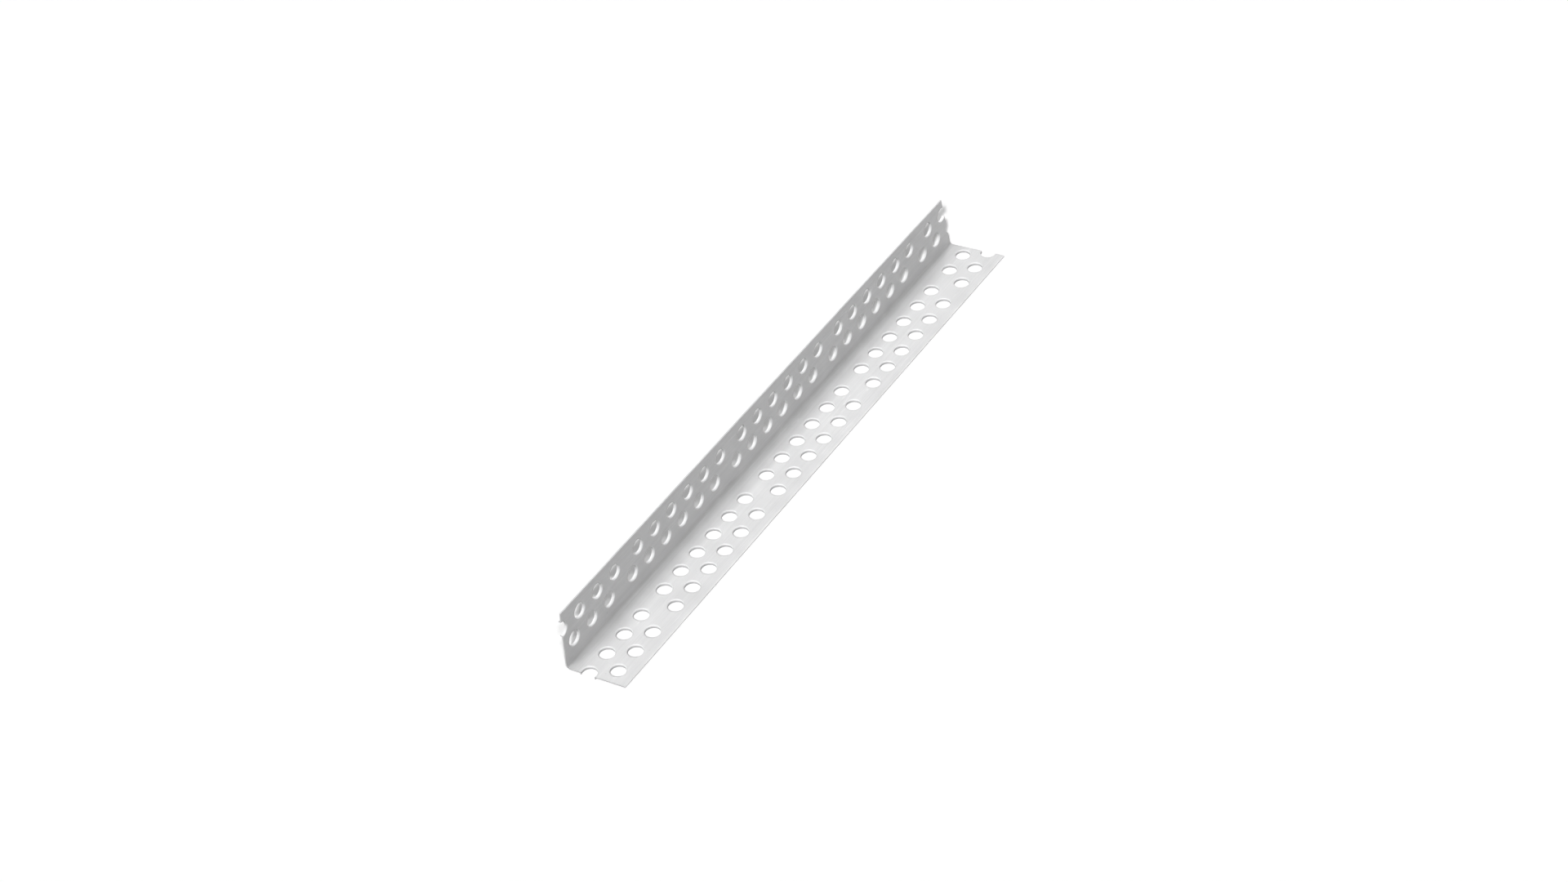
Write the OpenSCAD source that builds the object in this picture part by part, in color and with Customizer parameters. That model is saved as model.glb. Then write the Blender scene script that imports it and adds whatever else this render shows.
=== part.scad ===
// Perforated corner bead: a thin metal angle that covers the outside corner of a plastered wall.
// X runs along the fold, Z is up, the lying flange is on the floor and the other one stands at +Y.

/* [Section] */
// flange width, from the outside of the fold to the free edge
flange_width = 20; // [15:0.5:40]
// thickness of the sheet
sheet = 0.4; // [0.3:0.05:0.8]
// inside radius of the fold
fold_radius = 1.2; // [0.5:0.1:2]

/* [Length and end cuts] */
// length along the fold
fold_length = 220; // [80:1:400]
// step of the near cut at the free edge of the lying flange
near_cut_lying = 1; // [-3:0.1:3]
// step of the near cut at the free edge of the upright flange
near_cut_upright = 1.8; // [-3:0.1:3]
// step of the far cut at the free edge of the lying flange
far_cut_lying = 1.5; // [-4:0.1:4]
// step of the far cut at the free edge of the upright flange
far_cut_upright = -3; // [-4:0.1:4]

/* [Perforation] */
// bore of each hole
hole_diameter = 4.8; // [3:0.1:5.5]
// distance between neighbouring holes of a row
hole_pitch = 8.8; // [8:0.1:14]
// holes of a row that lie between two wide gaps
holes_per_group = 6; // [2:1:12]
// extra distance at each wide gap
group_gap = 3.2; // [0:0.1:8]
// full holes ahead of the first wide gap
first_group = 3; // [1:1:12]
// distance of the first full hole from the near end of the fold
first_hole = 10; // [6:0.1:14]
// distance of the inner row from the outside of the fold
inner_row = 7.3; // [5:0.1:10]
// distance of the outer row from the free edge
edge_distance = 5.7; // [3.5:0.1:8]

/* [Hole lips] */
// height of the lip drawn out of the outer face
lip_height = 0.7; // [0.3:0.05:1.2]
// wall of the lip at its rim
lip_wall = 0.3; // [0.2:0.05:0.5]
// how much wider the lip is at its root than at its rim
lip_spread = 0.3; // [0.1:0.05:0.5]
// how much wider the mouth of a hole is at the inner face
mouth_flare = 0.35; // [0.1:0.05:0.5]

/* [Hidden] */
$fn = 48;

bore_radius = hole_diameter / 2;
rim_radius = bore_radius + lip_wall;
root_radius = rim_radius + lip_spread;
fold_outside = fold_radius + sheet;
flat_width = flange_width - fold_outside;
stagger = hole_pitch / 2;

// the lips stand out below and behind, so the box is wider than the flange by one lip
outer_face_y = (flange_width + lip_height) / 2 - lip_height;
outer_face_z = lip_height;
low_x = min(0, near_cut_lying, near_cut_upright);
high_x = fold_length + max(0, far_cut_lying, far_cut_upright);
middle_x = (low_x + high_x) / 2;

// how far a tool reaches past the face that it cuts
overcut = 1;
spare_end = 5;
last_hole = ceil((high_x - first_hole) / hole_pitch) + 1;

outer_row = flange_width - edge_distance;

// wide gaps passed by hole k of a row
function gaps_before(k) = floor((k + holes_per_group - first_group) / holes_per_group);

// place of hole k along the fold
function hole_x(k, shift) = first_hole + k * hole_pitch + group_gap * gaps_before(k) - shift;

// places along the fold of each hole of a row that meets the sheet
function row_places(shift) = [
    for (k = [-2 : last_hole])
        if (hole_x(k, shift) > low_x - bore_radius && hole_x(k, shift) < high_x + bore_radius)
            hole_x(k, shift)
];

// the end of a flange leans by its step between the fold and the free edge
function lean(step, y) = step * (y - fold_outside) / flat_width;

// lip of one hole, about the outer face at z = 0
module lip() {
    rotate_extrude()
        polygon([
            [0, -lip_height],
            [rim_radius, -lip_height],
            [root_radius, 0],
            [root_radius, sheet / 2],
            [0, sheet / 2]
        ]);
}

// open space of one hole, about the outer face at z = 0
module hole_space() {
    rotate_extrude()
        polygon([
            [0, -lip_height - overcut],
            [bore_radius, -lip_height - overcut],
            [bore_radius, 0],
            [bore_radius + mouth_flare, sheet],
            [bore_radius + mouth_flare, sheet + overcut],
            [0, sheet + overcut]
        ]);
}

// calls its child at each hole of a flange
module at_holes(inner_shift, outer_shift) {
    for (x = row_places(inner_shift))
        translate([x, inner_row, 0])
            children();
    for (x = row_places(outer_shift))
        translate([x, outer_row, 0])
            children();
}

// outline of a flange between its two end cuts
module cut_outline(near_step, far_step) {
    high_y = flange_width + overcut;
    polygon([
        [lean(near_step, 0), 0],
        [lean(near_step, high_y), high_y],
        [fold_length + lean(far_step, high_y), high_y],
        [fold_length + lean(far_step, 0), 0]
    ]);
}

// one flat flange: x along the fold, y away from it, outer face at z = 0
module flange(near_step, far_step, inner_shift, outer_shift) {
    intersection() {
        difference() {
            union() {
                translate([low_x - spare_end, fold_outside, 0])
                    cube([high_x - low_x + 2 * spare_end, flat_width, sheet]);
                at_holes(inner_shift, outer_shift)
                    lip();
            }
            at_holes(inner_shift, outer_shift)
                hole_space();
        }
        translate([0, 0, -lip_height - overcut])
            linear_extrude(lip_height + sheet + 2 * overcut)
                cut_outline(near_step, far_step);
    }
}

// quarter round between the flanges
module fold() {
    rotate([90, 0, 90])
        linear_extrude(fold_length)
            intersection() {
                difference() {
                    circle(fold_outside);
                    circle(fold_radius);
                }
                translate([0, -fold_outside])
                    square(fold_outside);
            }
}

module corner_bead() {
    color([0.78, 0.79, 0.8])
        translate([-middle_x, outer_face_y, outer_face_z])
            union() {
                mirror([0, 1, 0])
                    flange(near_cut_lying, far_cut_lying, 0, stagger);
                rotate([90, 0, 0])
                    flange(near_cut_upright, far_cut_upright, stagger, 0);
                translate([0, -fold_outside, fold_outside])
                    fold();
            }
}

corner_bead();
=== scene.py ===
import math

import bpy
from mathutils import Matrix, Vector


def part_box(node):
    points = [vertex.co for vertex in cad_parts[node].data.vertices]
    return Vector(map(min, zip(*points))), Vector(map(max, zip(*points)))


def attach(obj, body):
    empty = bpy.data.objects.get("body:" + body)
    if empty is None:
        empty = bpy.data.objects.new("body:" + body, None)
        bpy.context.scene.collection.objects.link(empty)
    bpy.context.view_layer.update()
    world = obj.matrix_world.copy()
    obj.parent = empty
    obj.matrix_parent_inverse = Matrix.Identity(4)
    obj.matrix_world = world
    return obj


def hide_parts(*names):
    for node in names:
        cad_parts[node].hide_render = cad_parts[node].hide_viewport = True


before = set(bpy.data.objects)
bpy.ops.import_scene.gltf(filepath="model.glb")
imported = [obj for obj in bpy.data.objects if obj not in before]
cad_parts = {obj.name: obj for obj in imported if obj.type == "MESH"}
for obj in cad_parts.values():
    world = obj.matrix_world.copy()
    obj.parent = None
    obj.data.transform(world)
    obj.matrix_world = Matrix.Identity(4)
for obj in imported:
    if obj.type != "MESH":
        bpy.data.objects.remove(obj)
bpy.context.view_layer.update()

MM = 0.001
QUARTER_TURN = math.radians(90)

# Sizes of the bead in metres, which are named inputs of its Geometry Nodes trees
SIZES = {
    "Flange Width": 20 * MM,
    "Sheet": 0.4 * MM,
    "Fold Radius": 1.2 * MM,
    "Fold Length": 220 * MM,
    "Bore Radius": 2.4 * MM,
    "Hole Pitch": 8.8 * MM,
    "Group Gap": 3.2 * MM,
    "First Hole": 10 * MM,
    "Inner Row": 7.3 * MM,
    "Outer Row": 14.3 * MM,
    "Lip Height": 0.7 * MM,
    "Lip Wall": 0.3 * MM,
    "Mouth Round": 0.4 * MM,
    "Root Round": 0.3 * MM,
    "Rim Tear": 0.05 * MM,
}

# How far each flange's near and far cut lean along the strip, measured at the free edge
END_CUTS = {"lying": (1 * MM, 1.5 * MM), "upright": (1.8 * MM, -3 * MM)}

# Holes in a row, with one before the first that the near cut may open, and how they are grouped
HOLES_IN_ROW = 25
HOLES_PER_GROUP = 6
FIRST_GROUP = 3

# Points round a hole, across a lip's mouth, rim and root, and over the fold
RING_SIDES = 40
MOUTH_POINTS = 5
RIM_POINTS = 5
ROOT_POINTS = 4
FOLD_POINTS = 13

# Torn rims: waves of the tear a metre, and what brings its noise to about one
TEAR_SCALE = 900.0
TEAR_GAIN = 4

# Spare sheet past each end, the block that cuts the ends, welded points and edges that stay sharp
SPARE_END = 10 * MM
BLOCK_SPARE = 1 * MM
BLOCK_HEIGHT = 6 * MM
WELD = 0.001 * MM
SHARP_EDGE = math.radians(50)

# Mill finish: the plain sheet's tone, roughness and share of metal
SHEET_TONE = 0.67
SHEET_ROUGHNESS = 0.6
METAL_SHARE = 0.42
BLUE_TINT = 1.004

# What each pattern on the sheet adds to its tone, its roughness and its relief, with painted highlight on
# the bores and the lying edge and painted shade in the fold
TONE_WEIGHTS = {
    "lines": 0.14, "streaks": 0.1, "cloud": 0.13, "hairs": 0.1, "worn": 0.06, "sheared_edge_highlight": 0.22,
    "pits": -0.14, "crease_shade": -0.17, "burnish": 0.03, "bore": 0.17, "rim": 0.05,
}
ROUGHNESS_WEIGHTS = {
    "cloud": 0.2, "lines": 0.16, "streaks": 0.1, "rim": 0.12, "pits": 0.2,
    "hairs": -0.12, "worn": -0.12, "burnish": -0.1,
}
RELIEF_WEIGHTS = {
    "wave": 10, "lines": 0.6, "streaks": 0.4, "cloud": 0.3, "hairs": -0.25, "pits": -0.8,
}
RELIEF_HEIGHT = 0.03 * MM
RELIEF_STRENGTH = 0.3

# Patterns in waves a metre: along the strip and across it, or the same all ways
ROLLING_LINES = (45.0, 5200.0, 5200.0)
ROLLING_STREAKS = (8.0, 750.0, 750.0)
OXIDE_CLOUD = 110.0
SHEET_WAVE = 26.0
PITS = 270.0
PIT_SHARPNESS = 16

# Hairline scratches: each set's slant in radians, and the waves a metre of the patches that it comes in
SCRATCH_LINES = (26.0, 1100.0, 1100.0)
SCRATCH_SETS = ((0.16, 60.0), (-0.35, 85.0), (0.9, 100.0))
SCRATCH_SHARPNESS = 90
PATCH_GAIN = 5

# Patchy wear along both free edges, and the bright line that the shears leave on the lying one, partly a
# painted highlight that lifts its shaded cut face
WORN_BAND = 0.9 * MM
WORN_EVENLY = 0.7
WORN_IN_PATCHES = 1.6
SHEARED_HIGHLIGHT_BAND = 0.08 * MM

# The fold's band: how fast it fades beside the upright and above the floor, where that starts, its width
FADE_BESIDE = 0.8
FADE_ABOVE = 1.3
FOLD_BAND_START = 2.5 * MM
FOLD_BAND = 2.4 * MM

# Depth of the sheet's inner faces in the bead's box, less a margin
INNER_MARGIN = 0.03 * MM
INNER_SKIN = SIZES["Lip Height"] + SIZES["Sheet"] - INNER_MARGIN

# The floor's half width, the grey it throws back and its glow, and the sky's level and horizon band
FLOOR_HALF = 8.0
FLOOR_GREY = 0.15
FLOOR_GLOW = 0.155
SKY_LEVEL = 0.2
HORIZON_BAND = 0.16

# Lamps: where each shines from, its strength and its softness in degrees
FLOOR_LAMPS = {
    "floor_light": ((-0.805, -0.47, 0.76), 2.5, 3),
    "second_floor_light": ((-0.425, -0.47, 0.76), 0.62, 3),
}
BEAD_LAMPS = {
    "top_light": ((0.5, 0.1, 0.86), 0.94, 26),
    "back_light": ((-0.48, 0.2, 0.84), 1.37, 18),
    "side_light": ((-0.48, -0.35, 0.8), 1.67, 20),
}

# The camera: its place, the ways to its back and right, its near limit, and lens and sensor in millimetres
CAMERA_PLACE = (-0.56495, -0.42593, 0.59712)
CAMERA_BACK = (-0.609, -0.465, 0.642)
CAMERA_RIGHT = (0.530, -0.841, -0.107)
CAMERA_NEAR = 0.01
LENS_LENGTH = 69.375
SENSOR_WIDTH = 36.0


class Value:
    """A socket in a node tree. Its operators add Math nodes, and node() adds any node."""

    def __init__(self, socket):
        self.socket = socket
        self.tree = socket.id_data

    @staticmethod
    def node(tree, kind, settings=None, in_order=(), **inputs):
        """A new node's output. Its sockets are given by name, or in order where names repeat."""
        made = tree.nodes.new(kind)
        for name, setting in (settings or {}).items():
            setattr(made, name, setting)
        pairs = list(zip(made.inputs, in_order))
        for name, given in inputs.items():
            label = name.replace("_", " ").lower()
            socket = next(s for s in made.inputs if s.enabled and s.name.lower() == label)
            several = given if isinstance(given, list) else [given]
            pairs += [(socket, one) for one in several]
        for socket, given in pairs:
            if isinstance(given, Value):
                given.feed(socket)
            else:
                socket.default_value = given
        return Value(next(s for s in made.outputs if s.enabled))

    def feed(self, socket):
        self.tree.links.new(self.socket, socket)

    def out(self, name):
        return Value(next(s for s in self.socket.node.outputs if s.enabled and s.name == name))

    def math(self, operation, *others):
        return Value.node(self.tree, "ShaderNodeMath", {"operation": operation}, [self, *others])

    def math_after(self, operation, other):
        return Value.node(self.tree, "ShaderNodeMath", {"operation": operation}, [other, self])

    def at_least(self, other):
        return self.math("MAXIMUM", other)

    def at_most(self, other):
        return self.math("MINIMUM", other)

    def __abs__(self):
        return self.math("ABSOLUTE")

    def __add__(self, other):
        return self.math("ADD", other)

    __radd__ = __add__

    def __sub__(self, other):
        return self.math("SUBTRACT", other)

    def __rsub__(self, other):
        return self.math_after("SUBTRACT", other)

    def __mul__(self, other):
        return self.math("MULTIPLY", other)

    __rmul__ = __mul__

    def __truediv__(self, other):
        return self.math("DIVIDE", other)

    def __rtruediv__(self, other):
        return self.math_after("DIVIDE", other)

    def __gt__(self, other):
        return self.math("GREATER_THAN", other)

    def __lt__(self, other):
        return self.math("LESS_THAN", other)


def geometry_tree(name, numbers, materials=()):
    """An empty Geometry Nodes tree with one geometry output, and its named inputs."""
    tree = bpy.data.node_groups.new(name, "GeometryNodeTree")
    for label in numbers:
        tree.interface.new_socket(label, in_out="INPUT", socket_type="NodeSocketFloat")
    for label in materials:
        tree.interface.new_socket(label, in_out="INPUT", socket_type="NodeSocketMaterial")
    tree.interface.new_socket("Geometry", in_out="OUTPUT", socket_type="NodeSocketGeometry")
    source = tree.nodes.new("NodeGroupInput")
    return tree, {label: Value(source.outputs[label]) for label in [*numbers, *materials]}


def finish_tree(tree, result):
    """The result joined to the tree's output."""
    result.feed(tree.nodes.new("NodeGroupOutput").inputs["Geometry"])


def vector(tree, x=0.0, y=0.0, z=0.0):
    """Three numbers or values as one vector."""
    return Value.node(tree, "ShaderNodeCombineXYZ", X=x, Y=y, Z=z)


def parts(whole):
    """A vector's three parts."""
    split = Value.node(whole.tree, "ShaderNodeSeparateXYZ", Vector=whole)
    return split.out("X"), split.out("Y"), split.out("Z")


def place(tree):
    """Position of each point, as three values."""
    return parts(Value.node(tree, "GeometryNodeInputPosition"))


def facing(tree):
    """Normal of each face, as three values."""
    return parts(Value.node(tree, "GeometryNodeInputNormal"))


def mark(tree, geometry, label, value, domain):
    """The geometry with a named number on each of its points or faces."""
    return Value.node(
        tree, "GeometryNodeStoreNamedAttribute", {"data_type": "FLOAT", "domain": domain},
        Geometry=geometry, Name=label, Value=value,
    )


def marked(tree, label):
    """The named number that mark() left."""
    return Value.node(tree, "GeometryNodeInputNamedAttribute", {"data_type": "FLOAT"}, Name=label)


def without_faces(tree, geometry, chosen):
    """The geometry with the chosen faces taken off."""
    return Value.node(
        tree, "GeometryNodeDeleteGeometry", {"domain": "FACE", "mode": "ALL"},
        Geometry=geometry, Selection=chosen,
    )


def moved(tree, geometry, **steps):
    """The geometry moved, turned or scaled as a whole."""
    return Value.node(tree, "GeometryNodeTransform", Geometry=geometry, **steps)


def reshaped(tree, geometry, **places):
    """The geometry with a new position, or an offset, for each point."""
    return Value.node(tree, "GeometryNodeSetPosition", Geometry=geometry, **places)


def joined(tree, *pieces):
    """Several geometries as one."""
    return Value.node(tree, "GeometryNodeJoinGeometry", Geometry=list(pieces))


def welded(tree, geometry):
    """The geometry with the points that coincide made one."""
    return Value.node(tree, "GeometryNodeMergeByDistance", Geometry=geometry, Distance=WELD)


def turned_over(tree, mesh):
    """The mesh with its faces pointing the other way."""
    return Value.node(tree, "GeometryNodeFlipFaces", Mesh=mesh)


def repeated(tree, points, shape):
    """The shape at every point, as real geometry."""
    copies = Value.node(tree, "GeometryNodeInstanceOnPoints", Points=points, Instance=shape)
    return Value.node(tree, "GeometryNodeRealizeInstances", Geometry=copies)


def lip_ring(tree, size):
    """One turned lip: rolled mouth, bore, rounded rim and root, about the outer face at z = 0."""
    first_rim = MOUTH_POINTS
    first_root = MOUTH_POINTS + RIM_POINTS
    last = first_root + ROOT_POINTS - 1
    grid = Value.node(
        tree, "GeometryNodeMeshGrid",
        Size_X=1.0, Size_Y=1.0, Vertices_X=last + 1, Vertices_Y=RING_SIDES + 1,
    )
    across, around, _ = place(tree)
    step = ((across + 0.5) * last).math("ROUND")
    turn = (around + 0.5) * math.tau
    on_mouth = step < first_rim - 0.5
    on_root = step > first_root - 0.5
    on_rim = 1 - on_mouth - on_root

    half_wall = size["Lip Wall"] * 0.5
    outside = size["Bore Radius"] + size["Lip Wall"]
    centre_r = (
        on_mouth * (size["Bore Radius"] + size["Mouth Round"])
        + on_rim * (size["Bore Radius"] + half_wall)
        + on_root * (outside + size["Root Round"])
    )
    centre_z = (
        on_mouth * (size["Sheet"] - size["Mouth Round"])
        + on_rim * (half_wall - size["Lip Height"])
        - on_root * size["Root Round"]
    )
    round_r = on_mouth * size["Mouth Round"] + on_rim * half_wall + on_root * size["Root Round"]
    mouth_step = QUARTER_TURN / (MOUTH_POINTS - 1)
    rim_step = 2 * QUARTER_TURN / (RIM_POINTS - 1)
    root_step = QUARTER_TURN / (ROOT_POINTS - 1)
    bend = (
        on_mouth * (QUARTER_TURN + step * mouth_step)
        + on_rim * (2 * QUARTER_TURN + (step - first_rim) * rim_step)
        + on_root * (2 * QUARTER_TURN - (step - first_root) * root_step)
    )
    radius = centre_r + round_r * bend.math("COSINE")
    height = centre_z + round_r * bend.math("SINE")

    # The mouth and bore are marked to be painted paler and less metallic: a painted highlight in place of
    # lit bore walls
    mid_mouth = (MOUTH_POINTS - 1) / 2
    mid_rim = first_rim + (RIM_POINTS - 1) / 2
    bore_highlight_mask = (step > mid_mouth - 0.5) * (step < mid_rim + 0.5)
    lip = mark(tree, grid, "rim", on_rim * (0.5 - 0.5 * bend.math("SINE")), "POINT")
    lip = mark(tree, lip, "bore", bore_highlight_mask, "POINT")
    on_ring = vector(tree, radius * turn.math("COSINE"), radius * turn.math("SINE"), height)
    lip = turned_over(tree, reshaped(tree, lip, Position=on_ring))
    return mark(tree, lip, "curved", 1.0, "FACE")


def hole_points(tree, size, row, shift):
    """Points of one row of holes, in groups with a wider gap between them."""
    line = Value.node(tree, "GeometryNodeMeshLine", Count=HOLES_IN_ROW)
    number = Value.node(tree, "GeometryNodeInputIndex") - 1
    gaps = ((number + (HOLES_PER_GROUP - FIRST_GROUP)) / HOLES_PER_GROUP).math("FLOOR")
    along = size["First Hole"] + number * size["Hole Pitch"] + gaps * size["Group Gap"] - shift
    return reshaped(tree, line, Position=vector(tree, along, row))


def perforated_face(tree, outline, holes, radius):
    """A flat face with a round hole at every point."""
    ring = Value.node(tree, "GeometryNodeCurvePrimitiveCircle", Resolution=RING_SIDES, Radius=radius)
    curves = joined(tree, outline, repeated(tree, holes, ring))
    return Value.node(tree, "GeometryNodeFillCurve", {"mode": "TRIANGLES"}, Curve=curves)


def flange_tree():
    """A flat flange with its lipped holes: x along the fold, y away from it, outer face at z = 0."""
    labels = [*SIZES, "Near Cut", "Far Cut", "Inner Shift", "Outer Shift"]
    tree, size = geometry_tree("perforated flange", labels)
    fold_outside = size["Fold Radius"] + size["Sheet"]
    flat = size["Flange Width"] - fold_outside
    length = size["Fold Length"] + 2 * SPARE_END
    middle_x = size["Fold Length"] * 0.5
    middle_y = fold_outside + flat * 0.5

    # Both faces, with their holes, and the walls around them
    holes = joined(
        tree,
        hole_points(tree, size, size["Inner Row"], size["Inner Shift"]),
        hole_points(tree, size, size["Outer Row"], size["Outer Shift"]),
    )
    outline = Value.node(tree, "GeometryNodeCurvePrimitiveQuadrilateral", Width=length, Height=flat)
    outline = moved(tree, outline, Translation=vector(tree, middle_x, middle_y))
    mouth_radius = size["Bore Radius"] + size["Mouth Round"]
    root_radius = size["Bore Radius"] + size["Lip Wall"] + size["Root Round"]
    inner = perforated_face(tree, outline, holes, mouth_radius)
    inner = moved(tree, inner, Translation=vector(tree, z=size["Sheet"]))
    outer = turned_over(tree, perforated_face(tree, outline, holes, root_radius))
    walls = Value.node(tree, "GeometryNodeMeshCube", Size=vector(tree, length, flat, size["Sheet"]))
    walls = moved(tree, walls, Translation=vector(tree, middle_x, middle_y, size["Sheet"] * 0.5))
    walls = without_faces(tree, walls, abs(facing(tree)[2]) > 0.5)

    # The lips, each rim torn in its own way
    lips = repeated(tree, holes, lip_ring(tree, size))
    tear = abs(Value.node(tree, "ShaderNodeTexNoise", Scale=TEAR_SCALE, Detail=2.0) - 0.5)
    torn = tear * TEAR_GAIN * size["Rim Tear"] * marked(tree, "rim")
    lips = reshaped(tree, lips, Offset=vector(tree, z=torn))
    sheet = welded(tree, joined(tree, inner, outer, walls, lips))

    # The leaning end cuts, through holes and lips, and the side towards the fold left open
    block = Value.node(tree, "GeometryNodeMeshCube", Size=(1.0, 1.0, 1.0))
    x, y, z = place(tree)
    at_far = x > 0
    reach = (y + 0.5) * (size["Flange Width"] + BLOCK_SPARE)
    lean_at_edge = at_far * size["Far Cut"] + (1 - at_far) * size["Near Cut"]
    along = at_far * size["Fold Length"] + lean_at_edge * (reach - fold_outside) / flat
    block = reshaped(tree, block, Position=vector(tree, along, reach, z * BLOCK_HEIGHT))
    cut = Value.node(
        tree, "GeometryNodeMeshBoolean", {"operation": "INTERSECT", "solver": "MANIFOLD"},
        Mesh=[sheet, block],
    )
    at_fold = (place(tree)[1] < fold_outside + WELD) * (facing(tree)[1] < -0.9)
    finish_tree(tree, without_faces(tree, cut, at_fold))
    return tree


def shaded(tree, mesh, domain, smooth, **chosen):
    """The mesh with smooth or flat shading on the chosen faces or edges."""
    return Value.node(
        tree, "GeometryNodeSetShadeSmooth", {"domain": domain},
        Geometry=mesh, Shade_Smooth=smooth, **chosen,
    )


def bead_tree(flange):
    """Both flanges stood at a right angle and joined by the quarter round of the fold."""
    cuts = [f"{side} {end}" for side in END_CUTS for end in ("near", "far")]
    tree, size = geometry_tree("corner bead", [*SIZES, *cuts], ["Finish"])
    fold_outside = size["Fold Radius"] + size["Sheet"]
    stagger = size["Hole Pitch"] * 0.5
    sides = {}
    for side, inner_shift, outer_shift in (("lying", 0.0, stagger), ("upright", stagger, 0.0)):
        sides[side] = Value.node(
            tree, "GeometryNodeGroup", {"node_tree": flange},
            **{label.replace(" ", "_"): size[label] for label in SIZES},
            Near_Cut=size[f"{side} near"], Far_Cut=size[f"{side} far"],
            Inner_Shift=inner_shift, Outer_Shift=outer_shift,
        )
    lying = turned_over(tree, moved(tree, sides["lying"], Scale=(1.0, -1.0, 1.0)))
    upright = moved(tree, sides["upright"], Rotation=(QUARTER_TURN, 0.0, 0.0))

    # The fold, bent from a block that is open on both sides
    fold = Value.node(tree, "GeometryNodeMeshCube", Size=(1.0, 1.0, 1.0), Vertices_Y=FOLD_POINTS)
    fold = without_faces(tree, fold, abs(facing(tree)[1]) > 0.5)
    fold = mark(tree, fold, "curved", abs(facing(tree)[2]) > 0.5, "FACE")
    x, y, z = place(tree)
    turn = (y + 0.5) * QUARTER_TURN
    radius = size["Fold Radius"] + (0.5 - z) * size["Sheet"]
    bent = vector(
        tree,
        (x + 0.5) * size["Fold Length"],
        radius * turn.math("SINE") - fold_outside,
        fold_outside - radius * turn.math("COSINE"),
    )
    fold = reshaped(tree, fold, Position=bent)
    bead = welded(tree, joined(tree, lying, upright, fold))

    # Smooth lips and fold, flat sheet and sharp cut edges
    sharp = Value.node(tree, "GeometryNodeInputMeshEdgeAngle").out("Unsigned Angle") > SHARP_EDGE
    bead = shaded(tree, bead, "FACE", False)
    bead = shaded(tree, bead, "FACE", True, Selection=marked(tree, "curved") > 0.5)
    bead = shaded(tree, bead, "EDGE", False, Selection=sharp)
    bead = Value.node(tree, "GeometryNodeRealizeInstances", Geometry=bead)
    finish_tree(tree, Value.node(tree, "GeometryNodeSetMaterial", Geometry=bead, Material=size["Finish"]))
    return tree


def made_by(tree, name, settings):
    """The plain mesh that a tree makes with these inputs, as an object at the origin."""
    maker = bpy.data.objects.new(name + "_maker", bpy.data.meshes.new(name + "_maker"))
    bpy.context.scene.collection.objects.link(maker)
    modifier = maker.modifiers.new("maker", "NODES")
    modifier.node_group = tree
    for item in tree.interface.items_tree:
        if item.in_out == "INPUT":
            modifier[item.identifier] = settings[item.name]
    graph = bpy.context.evaluated_depsgraph_get()
    mesh = bpy.data.meshes.new_from_object(
        maker.evaluated_get(graph), preserve_all_data_layers=True, depsgraph=graph
    )
    mesh.name = name
    bpy.data.objects.remove(maker)

    # One slot, with the finish, for every face
    mesh.materials.clear()
    mesh.materials.append(settings["Finish"])
    mesh.polygons.foreach_set("material_index", [0] * len(mesh.polygons))
    piece = bpy.data.objects.new(name, mesh)
    bpy.context.scene.collection.objects.link(piece)
    return piece


def weighted(plain, patterns, weights):
    """A plain level, and what each pattern adds to it by its weight."""
    return sum((patterns[name] * weight for name, weight in weights.items()), plain)


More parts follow.
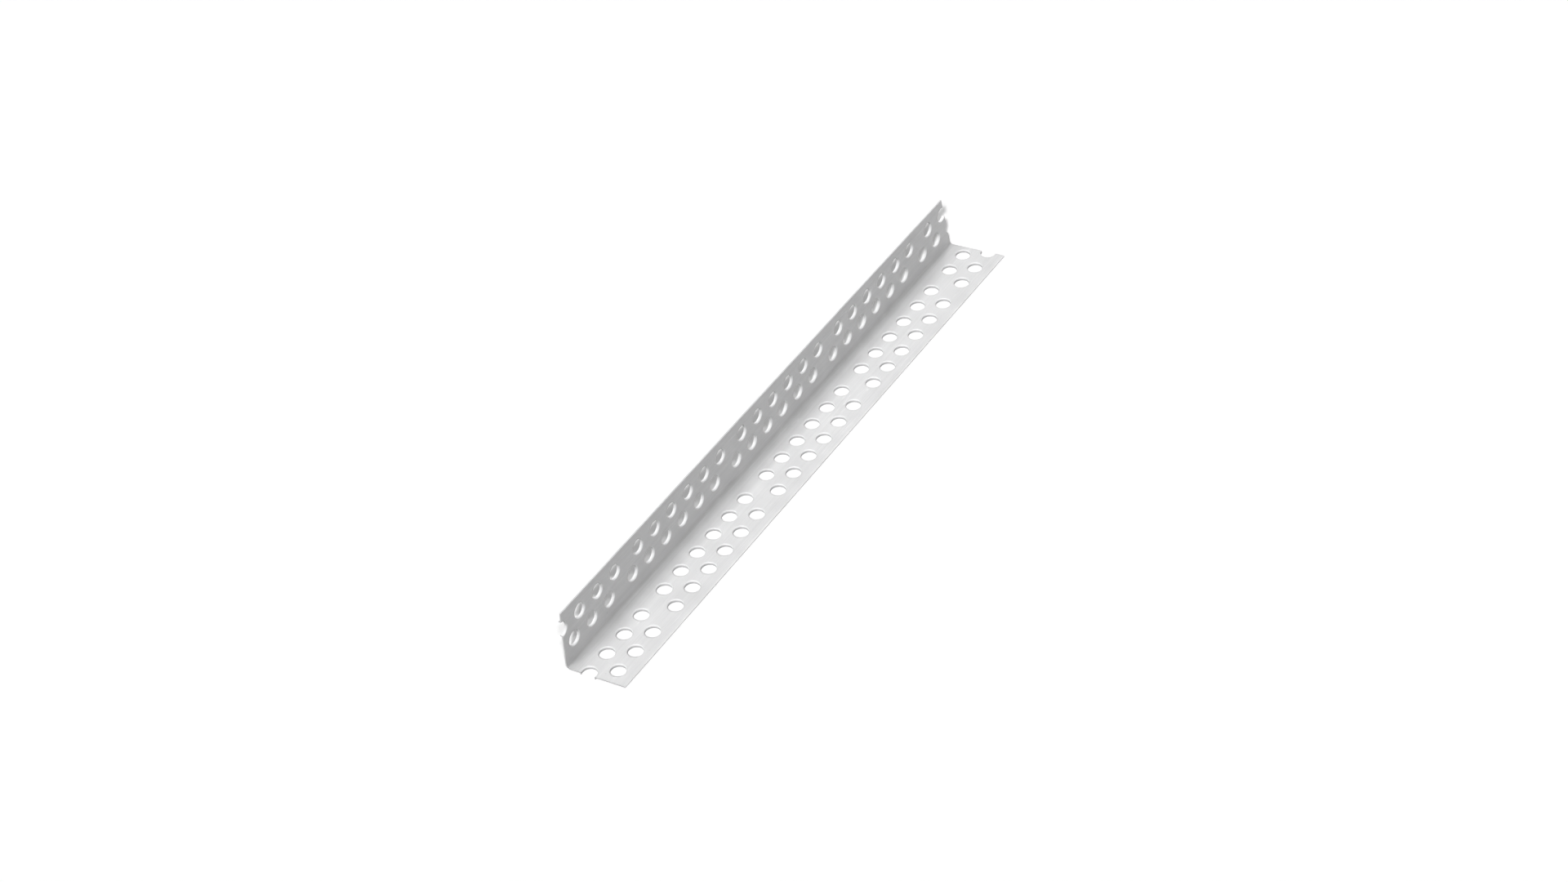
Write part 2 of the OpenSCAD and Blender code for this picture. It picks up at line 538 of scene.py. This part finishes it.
def mill_finish(low, high):
    """Rolled aluminium: lines along the strip, cloudy oxide, scratches, worn edges, painted highlight on
    the lips and the lying edge, painted shade in the fold.
    """
    material = bpy.data.materials.new("mill_finish")
    material.use_nodes = True
    tree = material.node_tree
    spot = Value.node(tree, "ShaderNodeTexCoord").out("Object")
    _, y, z = parts(spot)

    def noise(scale, detail, stretch=(1.0, 1.0, 1.0), turn=(0.0, 0.0, 0.0)):
        where = Value.node(tree, "ShaderNodeMapping", Vector=spot, Rotation=turn, Scale=stretch)
        return Value.node(tree, "ShaderNodeTexNoise", Vector=where, Scale=scale, Detail=detail) - 0.5

    def scratches(slant, patch):
        hair = abs(noise(1.0, 0.0, SCRATCH_LINES, (0.0, -slant, slant)))
        patches = (noise(patch, 1.0) * PATCH_GAIN).at_least(0.0)
        return (1 - hair * SCRATCH_SHARPNESS).at_least(0.0) * patches

    def feature(label):
        return Value.node(tree, "ShaderNodeAttribute", {"attribute_name": label}).out("Fac")

    # Patterns all over the sheet
    cloud = noise(OXIDE_CLOUD, 5.0)
    pit = Value.node(tree, "ShaderNodeTexVoronoi", Vector=spot, Scale=PITS).out("Distance")
    patterns = {
        "lines": noise(1.0, 3.0, ROLLING_LINES),
        "streaks": noise(1.0, 2.0, ROLLING_STREAKS),
        "cloud": cloud,
        "wave": noise(SHEET_WAVE, 1.0),
        "hairs": sum(scratches(slant, patch) for slant, patch in SCRATCH_SETS),
        "pits": (1 - pit * PIT_SHARPNESS).at_least(0.0),
        # The bores' paleness is a painted highlight
        "bore": feature("bore"),
        "rim": feature("rim"),
    }

    # Bands along the free edges and the fold, whose inside is darkened as painted shade and whose outside
    # is burnished
    to_lying_edge = y - low[1]
    to_free_edge = to_lying_edge.at_most(high[2] - z)
    wear = WORN_EVENLY + WORN_IN_PATCHES * cloud
    patterns["worn"] = (1 - to_free_edge / WORN_BAND).at_least(0.0) * wear
    # Painted highlight, partly a bright shear line, lifting the lying edge's shaded cut face
    patterns["sheared_edge_highlight"] = (1 - to_lying_edge / SHEARED_HIGHLIGHT_BAND).at_least(0.0)
    beside = high[1] - y
    above = z - low[2]
    from_fold = FADE_BESIDE * beside + FADE_ABOVE * above - FOLD_BAND_START
    fold = (1 - from_fold / FOLD_BAND).at_least(0.0).at_most(1.0)
    inside = beside.at_most(above) > INNER_SKIN
    # Painted shade in the fold's valley, darker inside the bend
    patterns["crease_shade"] = fold * fold * inside
    patterns["burnish"] = fold * (1 - inside)

    tone = weighted(SHEET_TONE, patterns, TONE_WEIGHTS)
    colour = Value.node(tree, "ShaderNodeCombineColor", Red=tone, Green=tone, Blue=tone * BLUE_TINT)
    relief = weighted(0.0, patterns, RELIEF_WEIGHTS)
    bump = Value.node(
        tree, "ShaderNodeBump", Strength=RELIEF_STRENGTH, Distance=RELIEF_HEIGHT, Height=relief
    )
    sockets = tree.nodes["Principled BSDF"].inputs
    colour.feed(sockets["Base Color"])
    weighted(SHEET_ROUGHNESS, patterns, ROUGHNESS_WEIGHTS).feed(sockets["Roughness"])
    # Less metal on the bores, part of their painted highlight
    (METAL_SHARE - METAL_SHARE * patterns["bore"]).feed(sockets["Metallic"])
    bump.feed(sockets["Normal"])
    return material


def seen_directly(tree):
    """One for rays from the camera and from mirroring or clear surfaces, and nought for the rest."""
    ray = Value.node(tree, "ShaderNodeLightPath")
    seen = ray.out("Is Camera Ray").at_least(ray.out("Is Glossy Ray"))
    return seen.at_least(ray.out("Is Transmission Ray"))


def pale_floor():
    """A floor finish: white where it is seen or mirrored, grey in the light it throws back."""
    material = bpy.data.materials.new("pale_floor")
    material.use_nodes = True
    tree = material.node_tree
    tree.nodes.remove(tree.nodes["Principled BSDF"])
    grey = Value.node(tree, "ShaderNodeBsdfDiffuse", Color=(FLOOR_GREY, FLOOR_GREY, FLOOR_GREY, 1.0))
    paint = Value.node(tree, "ShaderNodeBsdfDiffuse", Color=(1.0, 1.0, 1.0, 1.0))
    glow = Value.node(tree, "ShaderNodeEmission", Strength=FLOOR_GLOW)
    white = Value.node(tree, "ShaderNodeAddShader", in_order=[paint, glow])
    mixed = Value.node(tree, "ShaderNodeMixShader", in_order=[seen_directly(tree), grey, white])
    mixed.feed(tree.nodes["Material Output"].inputs["Surface"])
    return material


def plain_floor():
    """A square of floor under the bead."""
    corners = [(x * FLOOR_HALF, y * FLOOR_HALF, 0.0) for x, y in ((-1, -1), (1, -1), (1, 1), (-1, 1))]
    mesh = bpy.data.meshes.new("floor")
    mesh.from_pydata(corners, [], [(0, 1, 2, 3)])
    mesh.materials.append(pale_floor())
    floor = bpy.data.objects.new("floor", mesh)
    bpy.context.scene.collection.objects.link(floor)
    return floor


def soft_lamps(lamps, lit):
    """Lamps that light one object only, the floor or the bead, and are shaded by both."""
    for name, (source, strength, softness) in lamps.items():
        lamp = bpy.data.lights.new(name, "SUN")
        lamp.energy = strength
        lamp.angle = math.radians(softness)
        light = bpy.data.objects.new(name, lamp)
        light.rotation_euler = Vector(source).to_track_quat("Z", "Y").to_euler()
        bpy.context.scene.collection.objects.link(light)
        group = bpy.data.collections.new(name)
        group.objects.link(lit)
        light.light_linking.receiver_collection = group


def studio_sky():
    """An even sky that rises to white at the horizon."""
    world = bpy.data.worlds.new("studio")
    world.use_nodes = True
    bpy.context.scene.world = world
    tree = world.node_tree
    height = parts(Value.node(tree, "ShaderNodeTexCoord").out("Generated"))[2]
    horizon = (1 - height / HORIZON_BAND).at_least(0.0).at_most(1.0)
    level = SKY_LEVEL + (1 - SKY_LEVEL) * horizon * horizon
    sky = tree.nodes["Background"]
    sky.inputs["Color"].default_value = (1.0, 1.0, 1.0, 1.0)
    level.feed(sky.inputs["Strength"])


def photo_camera():
    """The camera at the photograph's viewing angle."""
    lens = bpy.data.cameras.new("photo_camera")
    lens.sensor_width = SENSOR_WIDTH
    lens.lens = LENS_LENGTH
    lens.clip_start = CAMERA_NEAR
    camera = bpy.data.objects.new("photo_camera", lens)
    back = Vector(CAMERA_BACK).normalized()
    right = Vector(CAMERA_RIGHT)
    right = (right - right.dot(back) * back).normalized()
    up = back.cross(right)
    turn = Matrix((right, up, back)).transposed().to_4x4()
    camera.matrix_world = Matrix.Translation(CAMERA_PLACE) @ turn
    bpy.context.scene.collection.objects.link(camera)
    bpy.context.scene.camera = camera


bpy.context.scene.view_settings.view_transform = "Standard"
photo_camera()
floor = plain_floor()

# The bead, in the place of the plain solid
low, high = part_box("corner_bead")
settings = {**SIZES, "Finish": mill_finish(low, high)}
for side, (near, far) in END_CUTS.items():
    settings[f"{side} near"] = near
    settings[f"{side} far"] = far
bead = made_by(bead_tree(flange_tree()), "perforated_bead", settings)
bead.data.transform(
    Matrix.Translation((low[0], high[1] - SIZES["Lip Height"], low[2] + SIZES["Lip Height"]))
)
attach(bead, "root")
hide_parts("corner_bead")

soft_lamps(FLOOR_LAMPS, floor)
soft_lamps(BEAD_LAMPS, bead)
studio_sky()
